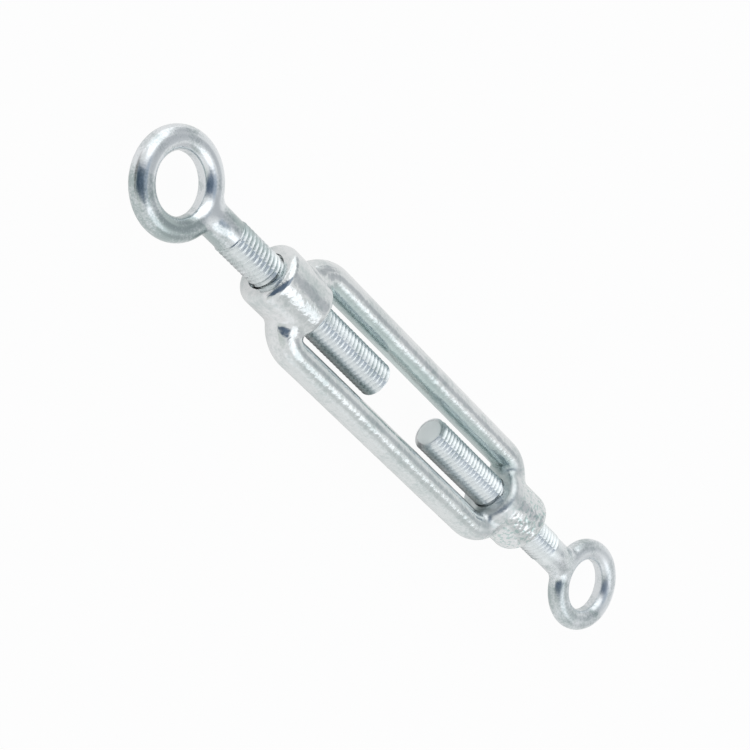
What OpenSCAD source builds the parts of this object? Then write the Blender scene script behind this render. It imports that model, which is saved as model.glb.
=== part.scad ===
// Open-body rigging turnbuckle, eye and eye, M10 x 125.
//
// The thread axis is X, and the two side bars of the frame lie in the XY plane.
// The origin is the middle of the frame, on the thread axis. The right-hand eye
// bolt points to -X and the left-hand one to +X. Lengths are in millimetres.
// Shanks and bores are drawn plain, at the thread's major diameter.

/* [Frame] */
// Length of the frame over its two bosses
frame_length = 125; // [110:1:150]
// Diameter of a boss
boss_d = 17.8; // [16:0.1:20]
// Length of a boss along the thread
boss_length = 18.2; // [16:0.2:20]
// Rounding of a boss's outer edge
boss_outer_round = 2; // [0.6:0.1:2.4]
// Rounding of a boss's edge inside the window
boss_inner_round = 2.2; // [0.6:0.1:2.6]
// Distance between the centre lines of the side bars
bar_spread = 22.2; // [20.6:0.1:24]
// Width of a side bar, across the window
bar_width = 8.2; // [7.4:0.1:9]
// Thickness of a side bar
bar_thickness = 9.6; // [8:0.1:11]
// Rounding of a side bar's corners
bar_round = 3.5; // [2:0.1:3.6]
// Distance from a boss's outer face to the start of the bars' bow
bow_start = 20.9; // [19.5:0.1:23]
// Radius of a bar's centre line where it bows in to its boss
bow_radius = 9.6; // [8:0.1:11]
// Depth of the countersink at the mouth of a bore
mouth_depth = 0.9; // [0.2:0.1:1.4]

/* [Thread] */
// Major diameter of the thread
thread_d = 10; // [9:0.1:11]
// Pitch of the thread
thread_pitch = 1.5; // [1:0.25:1.75]
// Chamfer on the end of a shank
tip_chamfer = 1.2; // [0.5:0.1:2]
// Gap between a shank and its bore, measured on the radius
thread_clearance = 0.05; // [0.02:0.01:0.1]

/* [Eyes] */
// Width of the flat land inside an eye
land_width = 2.4; // [1:0.1:3.2]
// Radius of the fillets between a ring and its neck
root_fillet = 6; // [4:0.5:7]
// Depth that those fillets run into the ring
root_bite = 0.5; // [0.3:0.1:1]
// Thickness of the web where it comes out of a ring
web_thickness = 4.4; // [3.6:0.1:5]

/* [Right-hand eye bolt] */
// Inner diameter of the eye
right_eye_d = 15.6; // [14:0.1:16.4]
// Outer diameter of the eye's ring
right_ring_d = 28.4; // [27.6:0.1:30]
// Thickness of the ring along the eye's own axis
right_ring_thickness = 6.1; // [5.6:0.1:6.6]
// Plain neck between the ring and the thread
right_neck_length = 7; // [5:0.5:12]
// Length of the bolt from the centre of its eye to its end
right_bolt_length = 86.4; // [80:0.2:92]
// Length of the shank that shows in the window
right_shank_in_window = 31.9; // [12:0.1:42]
// Turn of the eye out of the frame's plane
right_eye_turn = -3; // [-90:1:90]

/* [Left-hand eye bolt] */
// Inner diameter of the eye
left_eye_d = 14.8; // [13:0.1:15.6]
// Outer diameter of the eye's ring
left_ring_d = 26.9; // [26.2:0.1:29]
// Thickness of the ring along the eye's own axis
left_ring_thickness = 5.8; // [5.4:0.1:6.2]
// Plain neck between the ring and the thread
left_neck_length = 8; // [5:0.5:12]
// Length of the bolt from the centre of its eye to its end
left_bolt_length = 84.2; // [78:0.2:90]
// Length of the shank that shows in the window
left_shank_in_window = 30.9; // [12:0.1:42]
// Turn of the eye out of the frame's plane
left_eye_turn = 1; // [-90:1:90]

/* [Hidden] */
$fn = 96;

frame_colour = "gainsboro";
bolt_colour = "lightgray";

// A rolled thread is formed on a blank of its pitch diameter, and the neck is that blank.
thread_r = thread_d / 2;
neck_r = thread_r - 0.3248 * thread_pitch;
bore_r = thread_r + thread_clearance;

half_frame = frame_length / 2;
half_spread = bar_spread / 2;
window_end = half_frame - boss_length;
bow_centre = half_frame - bow_start;

// Section of a side bar: a rectangle with round corners, centred on the origin.
module bar_section() {
    corner = [bar_width / 2 - bar_round, bar_thickness / 2 - bar_round];
    square([2 * corner[0], bar_thickness], center = true);
    square([bar_width, 2 * corner[1]], center = true);
    for (x = [-1, 1], y = [-1, 1])
        translate([x * corner[0], y * corner[1]]) circle(r = bar_round);
}

// Lays a solid that is drawn about Z on to the thread axis, its +Z turned to +X.
module along_x() {
    rotate([0, 90, 0]) children();
}

// ---------------------------------------------------------------- frame

// Half of a boss's section, radius to the right and the thread axis upwards.
module boss_profile() {
    r = boss_d / 2;
    inner = boss_inner_round;
    outer = boss_outer_round;
    translate([0, inner]) square([r, boss_length - inner - outer]);
    square([r - inner, inner + 1]);
    translate([0, boss_length - outer - 1]) square([r - outer, outer + 1]);
    translate([r - inner, inner]) circle(r = inner);
    translate([r - outer, boss_length - outer]) circle(r = outer);
}

module boss() {
    translate([window_end, 0, 0]) along_x() rotate_extrude() boss_profile();
}

// One straight side bar, from bow to bow.
module side_bar(side) {
    translate([-bow_centre, side * half_spread, 0])
        along_x() rotate(90) linear_extrude(height = 2 * bow_centre) bar_section();
}

// A quarter bow: the bar turns through a right angle and runs into the boss.
module quarter_bow(side) {
    inner_end = half_spread - bow_radius;
    translate([bow_centre, 0, 0]) mirror([0, side < 0 ? 1 : 0, 0]) {
        translate([0, inner_end, 0])
            rotate_extrude(angle = 90) translate([bow_radius, 0]) bar_section();
        translate([bow_radius, 0, 0])
            rotate([-90, 0, 0]) linear_extrude(height = max(inner_end, 0.1)) bar_section();
    }
}

// What the tap and the countersink take out of one boss.
module bore() {
    along_x() {
        translate([0, 0, window_end - 1]) cylinder(r = bore_r, h = boss_length + 2);
        translate([0, 0, half_frame - mouth_depth])
            cylinder(r1 = bore_r, r2 = bore_r + 2 * mouth_depth, h = 2 * mouth_depth);
    }
}

module frame() {
    color(frame_colour) difference() {
        union() {
            for (side = [-1, 1]) side_bar(side);
            for (end = [0, 1], side = [-1, 1]) mirror([end, 0, 0]) quarter_bow(side);
            for (end = [0, 1]) mirror([end, 0, 0]) boss();
        }
        for (end = [0, 1]) mirror([end, 0, 0]) bore();
    }
}

// ---------------------------------------------------------------- eye bolts

// The ring of an eye, about Z. The forged bar has rounded sides, and trimming its
// flash leaves a narrow cylindrical land, which is the bearing face of the eye.
module ring(eye_d, ring_d, thickness) {
    round_r = thickness / 2;
    land_depth = round_r - sqrt(pow(round_r, 2) - pow(land_width / 2, 2));
    outer = ring_d / 2 - round_r;
    inner = min(eye_d / 2 - land_depth + round_r, outer - 0.1);
    difference() {
        rotate_extrude() {
            for (r = [inner, outer]) translate([r, 0]) circle(r = round_r);
            translate([inner, -round_r]) square([outer - inner, thickness]);
        }
        cylinder(d = eye_d, h = thickness + 2, center = true);
    }
}

// Half of the stem's section, radius to the right and the shank's axis upwards:
// a flare that meets the ring in a fillet, the neck, the run-out of the thread,
// the threaded shank and its chamfered end.
module stem_profile(core_r, fillet, away, thread_start, bolt_length) {
    difference() {
        polygon([[0, away[1] * core_r], away * core_r,
                 fillet - away * root_fillet, fillet, [0, fillet[1]]]);
        translate(fillet) circle(r = root_fillet);
    }
    polygon([[0, away[1] * core_r], [neck_r, away[1] * core_r],
             [neck_r, thread_start - thread_pitch], [thread_r, thread_start],
             [thread_r, bolt_length - tip_chamfer], [thread_r - tip_chamfer, bolt_length],
             [0, bolt_length]]);
}

// The stem is round, but for its root, which is forged down to a flat web where
// it comes out of the ring and thickens to the neck.
module stem(eye_d, ring_d, neck_length, bolt_length) {
    core_r = (ring_d + eye_d) / 4;
    fillet_y = neck_r + root_fillet;
    reach = ring_d / 2 - root_bite + root_fillet;
    fillet_x = sqrt(pow(reach, 2) - pow(fillet_y, 2));
    away = [fillet_y, fillet_x] / reach;
    web_start = away[1] * (ring_d / 2 - root_bite);
    web_half = web_thickness / 2;
    intersection() {
        along_x() rotate_extrude()
            stem_profile(core_r, [fillet_y, fillet_x], away, ring_d / 2 + neck_length, bolt_length);
        rotate([90, 0, 0]) linear_extrude(height = ring_d, center = true)
            polygon([[0, -web_half], [web_start, -web_half], [fillet_x, -thread_r],
                     [bolt_length + 1, -thread_d], [bolt_length + 1, thread_d],
                     [fillet_x, thread_r], [web_start, web_half], [0, web_half]]);
    }
}

// A whole eye bolt, with the centre of its eye at the origin and its shank along +X.
module eye_bolt(eye_d, ring_d, thickness, neck_length, bolt_length) {
    color(bolt_colour) union() {
        ring(eye_d, ring_d, thickness);
        stem(eye_d, ring_d, neck_length, bolt_length);
    }
}

module right_hand_eye_bolt() {
    eye_x = window_end - right_shank_in_window + right_bolt_length;
    translate([-eye_x, 0, 0]) rotate([right_eye_turn, 0, 0])
        eye_bolt(right_eye_d, right_ring_d, right_ring_thickness,
                 right_neck_length, right_bolt_length);
}

module left_hand_eye_bolt() {
    eye_x = window_end - left_shank_in_window + left_bolt_length;
    translate([eye_x, 0, 0]) rotate([left_eye_turn, 0, 0]) rotate([0, 0, 180])
        eye_bolt(left_eye_d, left_ring_d, left_ring_thickness,
                 left_neck_length, left_bolt_length);
}

frame();
right_hand_eye_bolt();
left_hand_eye_bolt();
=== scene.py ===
# %% [markdown]
# # A forged turnbuckle in bright zinc
#
# A turnbuckle tightens a wire or a chain. A forged frame joins two eye bolts, one with
# a right-hand thread and one with a left-hand thread. A bar through the frame's window
# turns it, and both bolts move in or out together.
#
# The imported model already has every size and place. This lesson gives each of the
# three forgings its skin, cuts the threads, plates everything with zinc, and sets up
# a small studio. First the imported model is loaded, with its outer box for later.

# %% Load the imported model
import math

import bpy
from mathutils import Matrix, Vector


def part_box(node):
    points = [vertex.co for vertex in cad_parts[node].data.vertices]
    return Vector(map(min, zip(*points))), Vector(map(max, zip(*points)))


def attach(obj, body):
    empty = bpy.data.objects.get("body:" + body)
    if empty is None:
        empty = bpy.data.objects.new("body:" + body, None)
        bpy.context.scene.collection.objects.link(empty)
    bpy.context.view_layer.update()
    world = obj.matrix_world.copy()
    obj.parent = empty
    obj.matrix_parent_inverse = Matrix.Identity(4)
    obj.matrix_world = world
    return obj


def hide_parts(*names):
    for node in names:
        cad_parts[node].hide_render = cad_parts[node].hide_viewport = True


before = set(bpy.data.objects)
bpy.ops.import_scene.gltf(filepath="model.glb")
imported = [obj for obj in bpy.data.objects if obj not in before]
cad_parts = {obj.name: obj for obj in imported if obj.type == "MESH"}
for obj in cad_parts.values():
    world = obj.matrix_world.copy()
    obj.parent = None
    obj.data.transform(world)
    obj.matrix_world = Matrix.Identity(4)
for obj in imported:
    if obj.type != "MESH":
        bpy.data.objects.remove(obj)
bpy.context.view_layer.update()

MM = 0.001
for name in sorted(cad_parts):
    low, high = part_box(name)
    print(name, [round(v / MM, 2) for v in (*low, *high)])

# %% [markdown]
# ## Writing node trees as sums
#
# The forgings and the finish are both made by node trees, and most of their nodes do
# plain arithmetic. It could be wired by hand, node by node, but a formula is easier to
# read. So one small class stands for a socket: adding, multiplying or comparing two of
# them adds the Math node that does it. Its node method adds any other kind of node.
# The sizes in the formulas are millimetres, and Blender's own values are metres.

# %% A socket that can be written in formulas
class Wire:
    """One socket of a node tree, for use in formulas."""

    def __init__(self, tree, socket=None):
        self.tree, self.socket = tree, socket

    def node(self, kind, settings=None, sockets=None, out=0):
        """Adds a node: its settings first, then the values or links of its sockets."""
        made = self.tree.nodes.new(kind)
        for name, value in (settings or {}).items():
            setattr(made, name, value)
        for name, value in (sockets or {}).items():
            for one in value if isinstance(value, list) else [value]:
                if isinstance(one, Wire):
                    self.tree.links.new(one.socket, made.inputs[name])
                else:
                    made.inputs[name].default_value = one
        return Wire(self.tree, made.outputs[out] if made.outputs else None)

    def out(self, name):
        """Another output of the node that this socket is on."""
        return Wire(self.tree, self.socket.node.outputs[name])

    def math(self, operation, *values):
        return self.node("ShaderNodeMath", {"operation": operation}, dict(enumerate(values)))

    def __add__(self, other): return self.math("ADD", self, other)
    def __radd__(self, other): return self.math("ADD", other, self)
    def __sub__(self, other): return self.math("SUBTRACT", self, other)
    def __rsub__(self, other): return self.math("SUBTRACT", other, self)
    def __mul__(self, other): return self.math("MULTIPLY", self, other)
    def __rmul__(self, other): return self.math("MULTIPLY", other, self)
    def __truediv__(self, other): return self.math("DIVIDE", self, other)
    def __rtruediv__(self, other): return self.math("DIVIDE", other, self)
    def __neg__(self): return self.math("MULTIPLY", self, -1)
    def __abs__(self): return self.math("ABSOLUTE", self)
    def least(self, other): return self.math("MINIMUM", self, other)
    def most(self, other): return self.math("MAXIMUM", self, other)
    def root(self): return self.math("SQRT", self)
    def power(self, other): return self.math("POWER", self, other)
    def sine(self): return self.math("SINE", self)
    def cosine(self): return self.math("COSINE", self)
    def floor(self): return self.math("FLOOR", self)
    def whole(self): return self.math("ROUND", self)
    def below(self, other): return self.math("LESS_THAN", self, other)
    def above(self, other): return self.math("GREATER_THAN", self, other)
    def clamp(self, low, high): return self.most(low).least(high)


print("formulas ready")

# %% [markdown]
# ## A skin over a distance
#
# A forging has no sharp joins: the hot steel flows, so bars run into bosses in soft
# fillets. Polygons with fillets are hard to model by hand. A distance formula makes
# them easily: it gives how far a point is outside the metal, and a soft minimum of two
# such distances blends two forms with a fillet between them.
#
# The skin is made in two steps. A coarse grid of samples is turned into a mesh where
# the distance is zero, and then each point slides along the slope of the distance until
# it lies on the true surface, so the skin is smooth although the grid isn't fine.

# %% Distances that every forging uses
def length(*parts):
    """How far a point is from the origin, from its parts along each direction."""
    total = parts[0] * parts[0]
    for part in parts[1:]:
        total = total + part * part
    return total.root()


def round_corner(across, along, corner):
    """Distance to a box with round corners, from how far a point is past two faces
    of the smaller box that the corners' centres lie on."""
    return length(across.most(0), along.most(0)) + across.most(along).least(0) - corner


def oval(across, along, half_width, half_height, squareness):
    """Distance to an oval that is squarer than an ellipse as squareness goes above 2."""
    far = (abs(across) / half_width).power(squareness) + \
        (abs(along) / half_height).power(squareness)
    return (far.power(1 / squareness) - 1) * half_height


def smooth(value, start, end):
    """Goes from 0 at start to 1 at end, without a corner."""
    part = ((value - start) / (end - start)).clamp(0, 1)
    return part * part * (3 - 2 * part)


def soft_union(one, other, reach):
    """The nearer of two distances, with a fillet that begins at reach from the join."""
    near = (reach - abs(one - other)).most(0)
    return one.least(other) - near * near / (4 * reach)


def soft_cut(one, other, reach):
    """The further of two distances: what both forms share, with its edge rounded."""
    near = (reach - abs(one - other)).most(0)
    return one.most(other) + near * near / (4 * reach)


print("distances ready")

# %% From a distance to a skin
PROBE = 0.05  # mm, the step that slopes are measured over
STEPS = 2  # how often the points slide on to the surface


def split(vector):
    parts = vector.node("ShaderNodeSeparateXYZ", sockets={0: vector})
    return [parts, parts.out("Y"), parts.out("Z")]


def join(x, y, z):
    wire = next(v for v in (x, y, z) if isinstance(v, Wire))
    return wire.node("ShaderNodeCombineXYZ", sockets={0: x, 1: y, 2: z})


def scaled(vector, factor):
    return vector.node("ShaderNodeVectorMath", {"operation": "SCALE"},
                       {0: vector, "Scale": factor})


def millimetres(wire):
    return scaled(wire.node("GeometryNodeInputPosition"), 1 / MM)


def skin(wire, distance, low, high, cell):
    """A closed mesh where distance(x, y, z), in mm, is zero inside the box low to high.
    The box clears the metal all round, and cell is the size of the coarse grid."""
    count = [math.ceil((h - l) / cell) for l, h in zip(low, high)]
    volume = wire.node("GeometryNodeVolumeCube", sockets={
        "Density": 1 - distance(*split(millimetres(wire))),
        "Min": Vector(low) * MM, "Max": Vector(high) * MM,
        "Resolution X": count[0], "Resolution Y": count[1], "Resolution Z": count[2]})
    mesh = wire.node("GeometryNodeVolumeToMesh", sockets={0: volume, "Threshold": 1.0})
    for _ in range(STEPS):
        x, y, z = split(millimetres(wire))
        here = distance(x, y, z)
        slope = [(distance(x + PROBE, y, z) - here) / PROBE,
                 (distance(x, y + PROBE, z) - here) / PROBE,
                 (distance(x, y, z + PROBE) - here) / PROBE]
        steep = slope[0] * slope[0] + slope[1] * slope[1] + slope[2] * slope[2]
        move = scaled(join(*slope), -MM * here / steep)
        mesh = wire.node("GeometryNodeSetPosition", sockets={0: mesh, "Offset": move})
    return mesh


def uneven(wire, mesh, depth, wave):
    """Lets the skin sink by up to depth, in waves of that length, as hammered steel does."""
    noise = wire.node("ShaderNodeTexNoise", sockets={
        "Vector": millimetres(wire), "Scale": 1 / wave, "Detail": 2.0, "Roughness": 0.5})
    normal = wire.node("GeometryNodeInputNormal")
    sink = scaled(normal, -MM * depth * noise.clamp(0, 1))
    return wire.node("GeometryNodeSetPosition", sockets={0: mesh, "Offset": sink})


print("skins ready")

# %% [markdown]
# ## Trees with named inputs
#
# Each forging gets its own Geometry Nodes tree. The sizes come in through named inputs,
# so the same tree makes both eye bolts. The modifier stores its values by the socket's
# identifier, not by its name, so a helper looks the identifiers up.

# %% Make a tree, run it, and keep the mesh
CREASE = math.radians(38)  # an edge that bends more than this stays sharp


def new_tree(name, inputs):
    tree = bpy.data.node_groups.new(name, "GeometryNodeTree")
    tree.interface.new_socket(name="Mesh", in_out="OUTPUT", socket_type="NodeSocketGeometry")
    for label in inputs:
        kind = "NodeSocketMaterial" if label == "Finish" else "NodeSocketFloat"
        tree.interface.new_socket(name=label, in_out="INPUT", socket_type=kind)
    entry = Wire(tree).node("NodeGroupInput")
    return Wire(tree), {label: entry.out(label) for label in inputs}


def end_tree(wire, mesh, finish):
    real = wire.node("GeometryNodeRealizeInstances", sockets={0: mesh})
    shaded = wire.node("GeometryNodeSetShadeSmooth", sockets={0: real})
    coated = wire.node("GeometryNodeSetMaterial", sockets={0: shaded, "Material": finish})
    wire.node("NodeGroupOutput", sockets={0: coated})


def grown(name, tree, values):
    """The plain mesh that a tree makes from these values, as a new object."""
    seed = bpy.data.objects.new(name + "_seed", bpy.data.meshes.new(name + "_seed"))
    bpy.context.scene.collection.objects.link(seed)
    modifier = seed.modifiers.new("grow", "NODES")
    modifier.node_group = tree
    for socket in tree.interface.items_tree:
        if socket.in_out == "INPUT":
            modifier[socket.identifier] = values[socket.name]
    now = seed.evaluated_get(bpy.context.evaluated_depsgraph_get())
    mesh = bpy.data.meshes.new_from_object(now)
    seed.modifiers.clear()
    bpy.data.objects.remove(seed)
    mesh.name = name
    mesh.set_sharp_from_angle(angle=CREASE)
    piece = bpy.data.objects.new(name, mesh)
    bpy.context.scene.collection.objects.link(piece)
    triangles = sum(len(face.vertices) - 2 for face in mesh.polygons)
    print(name, len(mesh.vertices), "points,", triangles, "triangles")
    return piece


print("edges over", round(math.degrees(CREASE)), "degrees stay sharp")

# %% [markdown]
# ## The thread
#
# A thread is one groove that climbs round a rod. Stacked rings would be easier to draw,
# but they show as soon as the rod is seen at a slant. Here a flat grid is rolled into a
# tube. Its columns go round and its rows go along, and a column starts a little further
# along than the one before it, so that after a full turn it has moved by one pitch.
# A few rows to a pitch draw the crest, the two flanks and the root. A left-hand thread
# moves the other way. Rows that would fall outside the rod are held back at its ends.

# %% A rolled thread on a rod, or the groove of a tapped hole
COLUMNS = 64
TURNS = 50  # more than the longest thread has
RIM = 0.45  # mm, the rounding of a cut end
# Place of each row in a pitch, and how high it stands: 1 on the crest, 0 in the root.
PROFILE = ((0.000, 1.0), (0.050, 1.0), (0.075, 0.955), (0.095, 0.891), (0.345, 0.094),
           (0.365, 0.03), (0.400, 0.0), (0.600, 0.0), (0.635, 0.03), (0.655, 0.094),
           (0.905, 0.891), (0.925, 0.955), (0.950, 1.0))


def pick(wire, index, values):
    """The value of a list at an index that a field gives."""
    switch = wire.tree.nodes.new("GeometryNodeIndexSwitch")
    switch.data_type = "FLOAT"
    while len(switch.index_switch_items) < len(values):
        switch.index_switch_items.new()
    whole = wire.node("FunctionNodeFloatToInt", {"rounding_mode": "ROUND"}, {0: index})
    wire.tree.links.new(whole.socket, switch.inputs["Index"])
    for number, value in enumerate(values):
        switch.inputs[str(number)].default_value = value
    return Wire(wire.tree, switch.outputs[0])


def thread(wire, start, end, crest_r, root_r, pitch, hand, first_r, last_r, slant):
    """A closed threaded tube along X. Its radius grows from first_r at one end and
    shrinks to last_r at the other, by slant mm for each mm along. Its first and last
    rows shrink to a point, which closes the ends."""
    per_turn = len(PROFILE)
    rows = TURNS * per_turn
    grid = wire.node("GeometryNodeMeshGrid", sockets={
        "Size X": 1.0, "Size Y": 1.0, "Vertices X": COLUMNS + 1, "Vertices Y": rows + 2})
    across, along, _ = split(wire.node("GeometryNodeInputPosition"))
    around = ((across + 0.5) * COLUMNS).whole() / COLUMNS
    count = ((along + 0.5) * (rows + 1)).whole()
    row = (count - 1).clamp(0, rows - 1)
    turn = (row / per_turn + 0.001).floor()
    step = row - turn * per_turn
    place = pick(wire, step, [p for p, _ in PROFILE])
    height = pick(wire, step, [h for _, h in PROFILE])
    x = (start + pitch * (turn + place + around - 1)).clamp(start, end)
    radius = root_r + (crest_r - root_r) * height
    past = (RIM - (end - x)).most(0)
    rim = (RIM * RIM - past * past).most(0).root() - RIM
    radius = radius.least(first_r + (x - start) * slant)
    radius = radius.least(last_r + rim + (end - x) * slant)
    pole = count.below(0.5) + count.above(rows + 0.5)
    radius = radius * (1 - pole)
    angle = around * (2 * math.pi) * hand
    place = join(x * MM, radius * angle.cosine() * MM, radius * angle.sine() * MM)
    tube = wire.node("GeometryNodeSetPosition", sockets={0: grid, "Position": place})
    tube = wire.node("GeometryNodeMergeByDistance", sockets={0: tube, "Distance": 1e-6})
    return wire.node("GeometryNodeFlipFaces", sockets={
        0: tube, "Selection": wire.math("LESS_THAN", hand, 0)})


print("thread ready")

# %% [markdown]
# ## The sizes
#
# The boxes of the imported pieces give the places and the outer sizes. The rest are a
# maker's sizes for this forging, in millimetres.

# %% Sizes of the forgings
frame_low, frame_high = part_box("frame")
HALF_FRAME = frame_high.x / MM
BOSS_R = frame_high.z / MM
BAR_REACH = frame_high.y / MM
BOSS_LENGTH = 18.2
BAR_WIDTH, BAR_THICKNESS = 8.2, 9.6
BOW_START, BOW_RADIUS = 20.9, 9.6
BORE_R = 4.95
MOUTH_R, MOUTH_DEPTH = 5.38, 1.5
THREAD_R, PITCH = 4.88, 1.5
ROOT_R = THREAD_R - 0.47 * PITCH
NECK_R = 4.62
TIP_CHAMFER = 1.2
print("frame", 2 * HALF_FRAME, "long, bosses", 2 * BOSS_R, "thick")

# %% [markdown]
# ## The frame
#
# Two bosses and two side bars. The centre line of the bars is a long rectangle with
# round corners, so the distance to that line is the distance to a box with round
# corners, and the section of the bar is another. The boss is a third, turned about the
# thread axis. A soft union joins them with the fillets that the dies leave.
#
# The tapped holes and their mouths are cut afterwards, because their edges are sharp.
# The cutters are the thread itself, a little fatter than the bolts. The groove of a
# tapped hole fades out towards its ends, so that it leaves no teeth on the faces.

# %% The forging tree of the frame
FRAME_ROOM = (64, 16.5, 10)  # mm from the middle, a little more than the frame fills
FRAME_CELL = 0.42  # mm
OUTER_ZONE, INNER_ZONE = 10, 14  # mm from the end, where the fillet changes its size
OVERRUN = 2  # mm that a cutter reaches past the metal
FADE = 0.05  # mm for each mm, by which a tapped groove gets shallower near its ends
MOUTH_SLOPE = 1.5  # mm for each mm, by which the mouth of a hole opens
WIDE = 20.0  # mm, a rim so wide that it doesn't narrow that end of a cutter
FRAME_INPUTS = ("Half length", "Boss radius", "Boss length", "Boss edge", "Bar reach",
                "Bar width", "Bar thickness", "Bar squareness", "Bow start", "Bow radius",
                "Outer fillet", "Inner fillet", "Bore radius", "Thread depth", "Pitch",
                "Mouth radius", "Mouth depth", "Finish")


def frame_distance(size):
    half_spread = size["Bar reach"] - size["Bar width"] / 2
    bow_end = size["Half length"] - size["Bow start"]

    def distance(x, y, z):
        ahead, beside = abs(x), abs(y)
        line = round_corner(ahead - bow_end, beside - (half_spread - size["Bow radius"]),
                            size["Bow radius"])
        bar = oval(line, z, size["Bar width"] / 2, size["Bar thickness"] / 2,
                   size["Bar squareness"])
        edge = size["Boss edge"]
        middle = size["Half length"] - size["Boss length"] / 2
        boss = round_corner(abs(ahead - middle) - (size["Boss length"] / 2 - edge),
                            length(y, z) - (size["Boss radius"] - edge), edge)
        inward = smooth(ahead, size["Half length"] - OUTER_ZONE,
                        size["Half length"] - INNER_ZONE)
        fillet = size["Outer fillet"] + (size["Inner fillet"] - size["Outer fillet"]) * inward
        return soft_union(bar, boss, fillet)

    return distance


def frame_tree():
    wire, size = new_tree("forged_frame", FRAME_INPUTS)
    mesh = skin(wire, frame_distance(size), [-room for room in FRAME_ROOM], FRAME_ROOM,
                FRAME_CELL)
    mesh = uneven(wire, mesh, depth=0.10, wave=3.2)
    tools = []
    bore, half = size["Bore radius"], size["Half length"]
    inner, outer = half - size["Boss length"] - OVERRUN, half + OVERRUN
    waist, mouth = half - size["Mouth depth"], size["Mouth radius"]
    for side in (-1, 1):
        start, end = (inner, outer) if side > 0 else (-1 * outer, -1 * inner)
        tools.append(thread(
            wire, start, end, crest_r=bore + size["Thread depth"], root_r=bore,
            pitch=size["Pitch"], hand=-side, first_r=bore - 0.1, last_r=bore - 0.1,
            slant=FADE))
        start, end = (waist, outer) if side > 0 else (-1 * outer, -1 * waist)
        first, last = (bore - 0.5, WIDE) if side > 0 else (WIDE, bore - 0.5)
        tools.append(thread(
            wire, start, end, crest_r=mouth, root_r=mouth, pitch=size["Pitch"], hand=1,
            first_r=first, last_r=last, slant=MOUTH_SLOPE))
    cut = wire.node("GeometryNodeMeshBoolean",
                    {"operation": "DIFFERENCE", "solver": "MANIFOLD"},
                    {"Mesh 1": mesh, "Mesh 2": tools})
    end_tree(wire, cut, size["Finish"])
    return wire.tree


print("frame tree ready to build")

# %% [markdown]
# ## The eye bolts
#
# An eye bolt is one forging too. Its ring has an oval section with a narrow flat land
# inside, where the flash was trimmed off, and the neck gets flatter as it runs into the
# ring. The distance of a rod that gets flatter on the way, joined softly to the ring,
# draws that. The thread is rolled on afterwards and its edges are sharper than the cells
# of a skin, so the threaded tube is joined to the skin as a separate, exact form.
#
# The tree draws a bolt with the middle of its eye at the origin and its shank along +X.

# %% The forging tree of an eye bolt
BOLT_LOW, BOLT_HIGH = (-15.4, -15.4, -5.6), (25, 15.4, 5.6)  # mm, round the eye and neck
BOLT_CELL = 0.34  # mm
RING_SQUARENESS = 2.15
LAND_DEPTH, LAND_EDGE = 0.08, 0.15  # mm that trimming took off, and how soft it left
ROOT_INSIDE, ROOT_OUTSIDE = 6, 5  # mm, how far the flat root reaches each way
ROOT_THINNER, ROOT_WIDER = 0.3, 0.5  # mm, against the ring and against the neck
TUCK = 2  # mm that the skin reaches into the thread
TUCK_SLOPE = 0.28  # mm for each mm, by which it sinks away there
BOLT_INPUTS = ("Eye radius", "Ring radius", "Ring thickness", "Neck radius",
               "Thread start", "Fillet", "Thread radius", "Root radius", "Pitch",
               "Bolt length", "Tip chamfer", "Hand", "Finish")


def bolt_distance(size):
    half_high = size["Ring thickness"] / 2
    outer, inner = size["Ring radius"], size["Eye radius"] - LAND_DEPTH
    middle, half_wide = (outer + inner) / 2, (outer - inner) / 2

    def distance(x, y, z):
        from_axis = length(x, y)
        ring = oval(from_axis - middle, z, half_wide, half_high, RING_SQUARENESS)
        ring = soft_cut(ring, size["Eye radius"] - from_axis, LAND_EDGE)
        root = smooth(x, outer - ROOT_INSIDE, outer + ROOT_OUTSIDE)
        high = (half_high - ROOT_THINNER) * (1 - root) + size["Neck radius"] * root
        wide = size["Neck radius"] + ROOT_WIDER * (1 - root)
        gone = (x - size["Thread start"]).most(0) * TUCK_SLOPE
        rod = (length(y / wide, z / high) - 1) * size["Neck radius"] + gone
        neck = soft_cut(rod, x - size["Thread start"] - TUCK, 0.5)
        neck = soft_cut(neck, middle - 0.5 - x, 1.0)
        return soft_union(ring, neck, size["Fillet"])

    return distance


def bolt_tree():
    wire, size = new_tree("forged_eye_bolt", BOLT_INPUTS)
    mesh = skin(wire, bolt_distance(size), BOLT_LOW, BOLT_HIGH, BOLT_CELL)
    mesh = uneven(wire, mesh, depth=0.05, wave=3.0)
    rod = thread(
        wire, size["Thread start"] - 0.3, size["Bolt length"],
        crest_r=size["Thread radius"], root_r=size["Root radius"], pitch=size["Pitch"],
        hand=size["Hand"], first_r=size["Root radius"] - 0.2,
        last_r=size["Thread radius"] - size["Tip chamfer"], slant=2.0)
    whole = wire.node("GeometryNodeMeshBoolean",
                      {"operation": "UNION", "solver": "MANIFOLD"},
                      {"Mesh 2": [mesh, rod]})
    end_tree(wire, whole, size["Finish"])
    return wire.tree


print("eye bolt tree ready to build")
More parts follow.
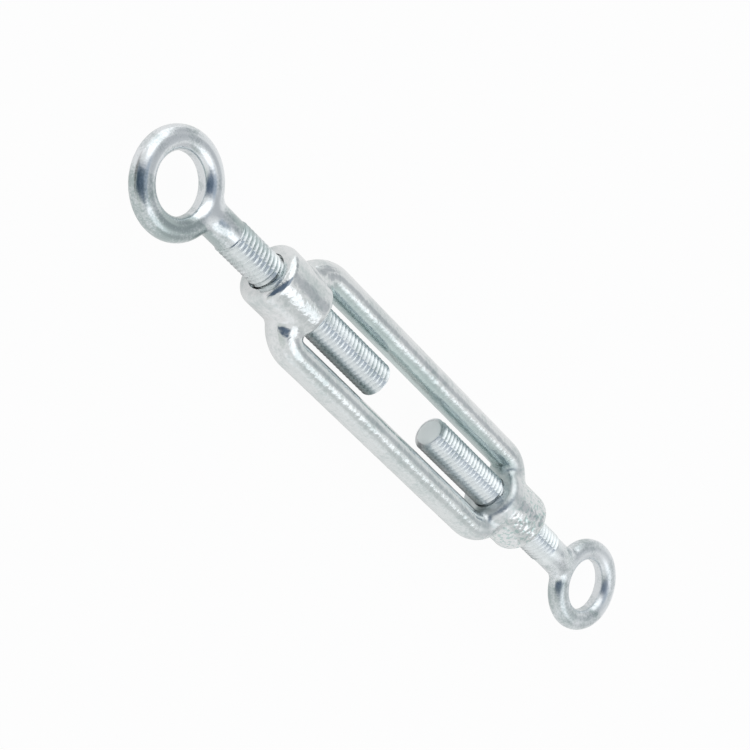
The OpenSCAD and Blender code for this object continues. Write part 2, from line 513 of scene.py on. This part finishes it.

# %% [markdown]
# ## Bright zinc
#
# The forgings are blasted, dipped in an electroplating bath and passivated, which leaves
# a thin bright coat with a cold cast. It doesn't hide the steel under it: the frame keeps
# the pits of its scale, and the bolts with their rolled threads are smoother. A painted
# image would need an unwrapped skin, so noises make the pits, lumps and stains instead.
# They read the piece's own Object coordinates, so they are the same size everywhere.
#
# One function makes both finishes, and one more for each says what its places add, painted
# shade and painted light among them.

# %% A zinc coat over forged steel
def zinc_coat(name, bright, stained_and_shaded, spot_and_painted_light, pit_depth, pit_size, polish, dull, local):
    """Zinc that goes from the bright colour to the darker one, for stains and painted shade,
    over pits of that depth and size in mm. Its roughness runs from polish to dull. local
    gives what the place adds: staining and painted shade, lumps, how much of the third
    colour, for spots and painted light, roughness, and which way the skin faces."""
    coat = bpy.data.materials.new(name)
    coat.use_nodes = True
    tree = coat.node_tree
    tree.nodes.clear()
    wire = Wire(tree)
    place = scaled(wire.node("ShaderNodeTexCoord", out="Object"), 1 / MM)

    def noise(size, detail=2.0, rough=0.5):
        return wire.node("ShaderNodeTexNoise", sockets={
            "Vector": place, "Scale": 1 / size, "Detail": detail, "Roughness": rough})

    def blend(factor, one, other):
        return wire.node("ShaderNodeMix", {"data_type": "RGBA"},
                         {"Factor": factor, 6: one, 7: other}, out=2)

    grain, pits, dents = noise(0.45, 1.0), noise(pit_size), noise(4 * pit_size)
    lumps, patches = noise(2.4 * pit_size, 1.0), noise(7.0, 4.0, 0.6)
    more_stain_and_shade, lumpy, spotted_and_painted_light, matt, facing = local(wire, place, pits)
    height = grain * 0.3 + pits + lumps * lumpy + dents * 2.2
    stain_and_shade = ((patches - 0.42) * 3 + (0.45 - pits) * 1.5 + more_stain_and_shade).clamp(0, 1)
    bump = wire.node("ShaderNodeBump", sockets={
        "Strength": 1.0, "Distance": pit_depth * MM, "Height": height, "Normal": facing})
    colour = blend(stain_and_shade, (*bright, 1), (*stained_and_shaded, 1))
    colour = blend(spotted_and_painted_light, colour, (*spot_and_painted_light, 1))
    rough = polish + (dull - polish) * noise(2.5, 2.0).clamp(0, 1) + matt
    shader = wire.node("ShaderNodeBsdfPrincipled", sockets={
        "Base Color": colour, "Metallic": 1.0, "Roughness": rough, "Normal": bump})
    wire.node("ShaderNodeOutputMaterial", sockets={"Surface": shader})
    print(name, "made with", len(tree.nodes), "nodes")
    return coat


def on_the_frame(wire, place, pits):
    """The left-hand boss, at +X, kept deep pits and lumps where the scale came off, and its
    face towards the window is dull. The sides of the bars that look into the window get
    painted shade, more on the bar at +Y."""
    x, y, _ = split(place)
    facing = wire.node("ShaderNodeNewGeometry", out="Normal")
    at_boss = smooth(x, 45, 54)
    # The side of the bar at +Y that looks into the window, and a little of the other.
    far_bar = smooth(y, 0, 5) * (1 - smooth(y, 8.5, 10.5))
    # Painted shade on the sides of the bars that look into the window.
    shaded_window_sides = (1 - smooth(abs(x), 42, 47)) * (far_bar + 0.2 * (1 - smooth(y, 0, 5)))
    # The deepest pits of the boss at +X, and its face towards the window.
    speckle = smooth(0.46 - pits, 0, 0.06) * at_boss
    dull_face = smooth(x, 42, 44) * (1 - smooth(x, 48, 50))
    more_stain_and_shade = at_boss * (0.5 - pits) * 3
    lumpy = 0.7 + at_boss * 8 + smooth(-x, 43, 47) * 0.1
    spotted_and_painted_light = shaded_window_sides * 0.62 + speckle * 0.8
    matt = shaded_window_sides * 0.12 + dull_face * 0.25
    return more_stain_and_shade, lumpy, spotted_and_painted_light, matt, facing


def on_a_bolt(wire, place, pits):
    """Painted shade darkens the root of the thread, the side of the shank at -Y and a band on
    the +Y side of the right-hand bolt. The rest of the thread is pale, partly zinc rubbed off
    the crests and partly painted light, and the side that was rubbed most, at -Y, shades as
    if it were rounder. The sheared ends of the bolts are matt and pale, and the left-hand eye
    is a little duller."""
    x, y, z = split(place)
    from_axis = length(y, z)
    # 1 in the root of the thread, then 1 along the shank, then 1 on its end face.
    deep = ((4.75 - from_axis) / 0.5).clamp(0, 1)
    shank = ((78.5 - abs(x)) / 1.5).clamp(0, 1)
    end = (1 - smooth(abs(x), 13.5, 13.8)) * (1 - smooth(from_axis, 3.5, 3.8))
    thread = shank * (1 - end)
    # Painted shade on the side at -Y, less so outside the frame and on the left-hand bolt.
    shaded_underside = smooth(-y, 3.4, 4.7) * (1 - 0.35 * smooth(abs(x), 44, 46))
    shaded_underside = shaded_underside * (1 - 0.4 * smooth(x, 0, 1))
    # Painted shade in a band along the +Y side of the right-hand bolt, outside the frame.
    shaded_band = smooth(y, 0.5, 2.5) * smooth(-x, 64, 68) * smooth(x, -86, -83)
    # Painted shade in the root of the thread, more of it towards +Y.
    painted_root_shade = deep * (0.4 + 0.6 * smooth(y, -3, 0.5))
    more_stain_and_shade = thread * (painted_root_shade * 0.9 - 0.4) + 1.3 * shaded_underside + shaded_band
    # Towards -Y the flanks' direction is mixed with the one straight out of the axis.
    worn = thread * 0.62 * smooth(-y, -0.2, 0.7)
    steep = scaled(wire.node("ShaderNodeNewGeometry", out="Normal"), 1 - worn)
    facing = wire.node("ShaderNodeVectorMath", {"operation": "ADD"},
                       {0: steep, 1: scaled(join(0, y, z), worn / from_axis)})
    facing = facing.node("ShaderNodeVectorMath", {"operation": "NORMALIZE"}, {0: facing})
    # Painted light: the thread is paler away from the painted shade, partly for zinc rubbed
    # off the crests.
    pale = thread * 0.7 * (1 - shaded_underside) * (1 - shaded_band) * (1 - painted_root_shade)
    matt = (deep * thread * 0.06 + thread * 0.10 + end * 0.4
            + smooth(x, 84, 88) * 0.10)
    return more_stain_and_shade - end - 0.15, 0.0, end + pale, matt, facing


frame_zinc = zinc_coat(
    "pitted_zinc", bright=(0.82, 0.84, 0.845), stained_and_shaded=(0.60, 0.66, 0.66),
    spot_and_painted_light=(0.54, 0.68, 0.66), pit_depth=0.050, pit_size=1.00, polish=0.06, dull=0.20,
    local=on_the_frame)
bolt_zinc = zinc_coat(
    "smooth_zinc", bright=(0.85, 0.88, 0.90), stained_and_shaded=(0.46, 0.53, 0.53),
    spot_and_painted_light=(0.93, 0.98, 0.98), pit_depth=0.010, pit_size=0.60, polish=0.14, dull=0.30,
    local=on_a_bolt)

# %% [markdown]
# ## Growing the pieces
#
# The trees run once, with the sizes of this turnbuckle, and leave plain meshes behind.
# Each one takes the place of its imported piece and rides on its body, so it moves with
# the joints. One tree makes both bolts: the hand of the thread, the ring and the neck
# are inputs. Modelling each bolt alone would be quicker to start and slower to change.

# %% Grow the frame
forged_frame = grown("forged_frame", frame_tree(), {
    "Half length": HALF_FRAME, "Boss radius": BOSS_R, "Boss length": BOSS_LENGTH,
    "Boss edge": 2.1, "Bar reach": BAR_REACH, "Bar width": BAR_WIDTH,
    "Bar thickness": BAR_THICKNESS, "Bar squareness": 2.0, "Bow start": BOW_START,
    "Bow radius": BOW_RADIUS, "Outer fillet": 0.8, "Inner fillet": 1.9,
    "Bore radius": BORE_R, "Thread depth": 0.25, "Pitch": PITCH, "Mouth radius": MOUTH_R,
    "Mouth depth": MOUTH_DEPTH, "Finish": frame_zinc})

# %% Grow the eye bolts
RIGHT, LEFT = 1.0, -1.0


def grow_bolt(name, node, hand, eye_turn, values):
    """Grows a bolt and puts it in its place, with the eye turned by so many degrees."""
    low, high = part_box(node)
    ring_r = high.y / MM
    bolt = grown(name, eye_bolt_tree, {
        "Ring radius": ring_r, "Neck radius": NECK_R, "Fillet": 1.6,
        "Thread radius": THREAD_R, "Root radius": ROOT_R, "Pitch": PITCH,
        "Bolt length": (high.x - low.x) / MM - ring_r, "Tip chamfer": TIP_CHAMFER,
        "Hand": hand, "Finish": bolt_zinc, **values})
    eye_x = low.x + high.y if hand == RIGHT else high.x - high.y
    place = Matrix.Translation((eye_x, 0, 0)) @ Matrix.Rotation(
        math.radians(eye_turn), 4, "X")
    if hand == LEFT:
        place = place @ Matrix.Rotation(math.pi, 4, "Z")
    bolt.data.transform(place)
    return bolt


eye_bolt_tree = bolt_tree()
right_bolt = grow_bolt("right_hand_bolt", "right_hand_eye_bolt", RIGHT, -3, {
    "Eye radius": 7.8, "Ring thickness": 6.1, "Thread start": 20.8})
left_bolt = grow_bolt("left_hand_bolt", "left_hand_eye_bolt", LEFT, 1, {
    "Eye radius": 7.4, "Ring thickness": 5.8, "Thread start": 21.8})

# %% Each piece takes the place of its node
for piece, node, finish in ((forged_frame, "frame", "zinc_frame"),
                            (right_bolt, "right_hand_eye_bolt", "zinc_eye_bolt"),
                            (left_bolt, "left_hand_eye_bolt", "zinc_eye_bolt")):
    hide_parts(node)
    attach(piece, node)
    print(piece.name, "rides on", node, "with the finish", finish)

# %% [markdown]
# ## The studio
#
# Bright metal has hardly any colour of its own: it shows what stands round it. So the
# studio matters as much as the zinc. It is a pale tent with softboxes on either side,
# grey cards between them that draw the form, and the dark room behind the camera. Real
# lamps and cards would do the same, but each of them would have to be kept out of view.
# So all of it is in the world's colour, as soft round patches in given directions, and
# a ray that comes straight from the camera sees plain white instead.

# %% The tent and its softboxes
def heading(azimuth, elevation):
    a, e = math.radians(azimuth), math.radians(elevation)
    return Vector((math.cos(a) * math.cos(e), math.sin(a) * math.cos(e), math.sin(e)))


TENT = (0.80, 0.81, 0.81)
BACKDROP = (0.985, 0.985, 0.985)
# Azimuth, elevation, half width and soft edge in degrees, and the colour of each patch.
PATCHES = (
    # Grey cards
    (-126, 10, 16, 18, (0.66, 0.69, 0.67)),
    (-34, 29, 9, 10, (0.64, 0.66, 0.66)),
    (-10, 22, 12, 11, (0.60, 0.61, 0.62)),
    (34, 42, 8, 12, (0.52, 0.54, 0.56)),
    (58, 52, 8, 12, (0.46, 0.48, 0.50)),
    (80, 27, 7, 12, (0.46, 0.48, 0.50)),
    (84, 2, 7, 10, (0.54, 0.56, 0.58)),
    # The dark room behind the camera, and a dark card overhead
    (-154, 4, 16, 16, (0.14, 0.18, 0.22)),
    (-148, 34, 17, 16, (0.09, 0.125, 0.18)),
    (-144, 60, 16, 15, (0.12, 0.165, 0.23)),
    (94, 84, 10, 12, (0.34, 0.40, 0.48)),
    # Softboxes on either side
    (127, 4, 20, 10, (1.22, 1.24, 1.26)),
    (131, 38, 20, 10, (1.32, 1.34, 1.36)),
    (-68, 2, 11, 14, (0.94, 0.95, 0.96)),
    (-58, 55, 9, 9, (1.12, 1.14, 1.16)),
    (-34, 60, 16, 5, (1.28, 1.30, 1.33)),
)

world = bpy.data.worlds.new("tent")
bpy.context.scene.world = world
world.use_nodes = True
world.node_tree.nodes.clear()
air = Wire(world.node_tree)
toward = air.node("ShaderNodeTexCoord", out="Generated")
light = (*TENT, 1)
for azimuth, elevation, half, edge, colour in PATCHES:
    facing = air.node("ShaderNodeVectorMath", {"operation": "DOT_PRODUCT"},
                      {0: toward, 1: heading(azimuth, elevation)}, out="Value")
    inside = air.node("ShaderNodeMapRange", {"interpolation_type": "SMOOTHSTEP"}, {
        "Value": facing, "From Min": math.cos(math.radians(half + edge)),
        "From Max": math.cos(math.radians(half)), "To Min": 0.0, "To Max": 1.0})
    light = air.node("ShaderNodeMix", {"data_type": "RGBA"},
                     {"Factor": inside, 6: light, 7: (*colour, 1)}, out=2)
straight = air.node("ShaderNodeLightPath", out="Is Camera Ray")
light = air.node("ShaderNodeMix", {"data_type": "RGBA"},
                 {"Factor": straight, 6: light, 7: (*BACKDROP, 1)}, out=2)
sky = air.node("ShaderNodeBackground", sockets={"Color": light, "Strength": 1.0})
air.node("ShaderNodeOutputWorld", sockets={"Surface": sky})
print("tent with", len(PATCHES), "patches")

# %% [markdown]
# ## The floor
#
# The camera sees a white floor with a faint shadow. Polished zinc mirrors more of it:
# low on the object it shows the floor close by, which lies in the object's own shade.
# Many bounces of light would find that shade slowly. Ambient occlusion, which measures
# how open a point is, gives it at once, and only to rays that come off the metal. They
# also see three soft areas: a dark card and a softbox that lie beyond the near eye, and
# the deep shade under the bar at -Y.

# %% The floor
FLOOR_SIZE = 6  # metres, far past the edges of the view
bpy.ops.mesh.primitive_plane_add(size=FLOOR_SIZE, location=(0, 0, frame_low.z))
floor = bpy.context.object
floor.name = "floor"
pale = bpy.data.materials.new("pale_floor")
pale.use_nodes = True
pale.node_tree.nodes.clear()
ground = Wire(pale.node_tree)
paper = ground.node("ShaderNodeBsdfDiffuse", sockets={"Color": (0.8, 0.8, 0.8, 1)})
ray = ground.node("ShaderNodeLightPath", out="Is Camera Ray")
open_air = ground.node("ShaderNodeAmbientOcclusion", {"samples": 4},
                       {"Distance": 12 * MM}, out="AO")
x, y, _ = split(scaled(ground.node("ShaderNodeTexCoord", out="Object"), 1 / MM))
card = smooth(-x, 126, 146) * (1 - smooth(abs(y + 34), 24, 48))
softbox = smooth(-x, 118, 140) * smooth(y, 28, 44)
under_bar = (smooth(x, -44, -38) * (1 - smooth(x, 46, 52)) * smooth(y, -13.5, -11.5)
             * (1 - smooth(y, -6, -4)))
mirrored = (0.62 + 0.24 * open_air) * (1 - 0.75 * card + 0.45 * softbox
                                       - 0.55 * under_bar)
glow = ground.node("ShaderNodeEmission", sockets={
    "Color": ray + (1 - ray) * mirrored, "Strength": 1.0})
shown = ray * 0.96 + ray.out("Is Glossy Ray")
lit = ground.node("ShaderNodeMixShader", sockets={0: shown, 1: paper, 2: glow})
ground.node("ShaderNodeOutputMaterial", sockets={"Surface": lit})
floor.data.materials.append(pale)
print("floor at", round(frame_low.z / MM, 2), "mm")

# %% [markdown]
# ## The camera
#
# A long lens keeps the two ends nearly the same size. It looks down over the near eye,
# and it is rolled so that the turnbuckle lies across the picture from corner to corner.
# A constraint could aim it, but a matrix built from three directions holds the roll too.

# %% The camera
camera = bpy.data.objects.new("camera", bpy.data.cameras.new("camera"))
bpy.context.scene.collection.objects.link(camera)
camera.data.sensor_width = 36
camera.data.lens = 110.49
ROLL = math.radians(100.525)
eye = Vector((-397.868, -182.933, 420.455)) * MM
aim = Vector((-8.275, 3.486, -6.035)) * MM
back = (eye - aim).normalized()
level = Vector((0, 0, 1))
level = (level - back * level.dot(back)).normalized()
up = Matrix.Rotation(ROLL, 3, back) @ level
camera.matrix_world = Matrix.Translation(eye) @ Matrix(
    (up.cross(back), up, back)).transposed().to_4x4()
camera.data.clip_start = 0.01
bpy.context.scene.camera = camera
bpy.context.scene.view_settings.view_transform = "Standard"
print("camera", round((eye - aim).length, 3), "m away, lens", camera.data.lens)
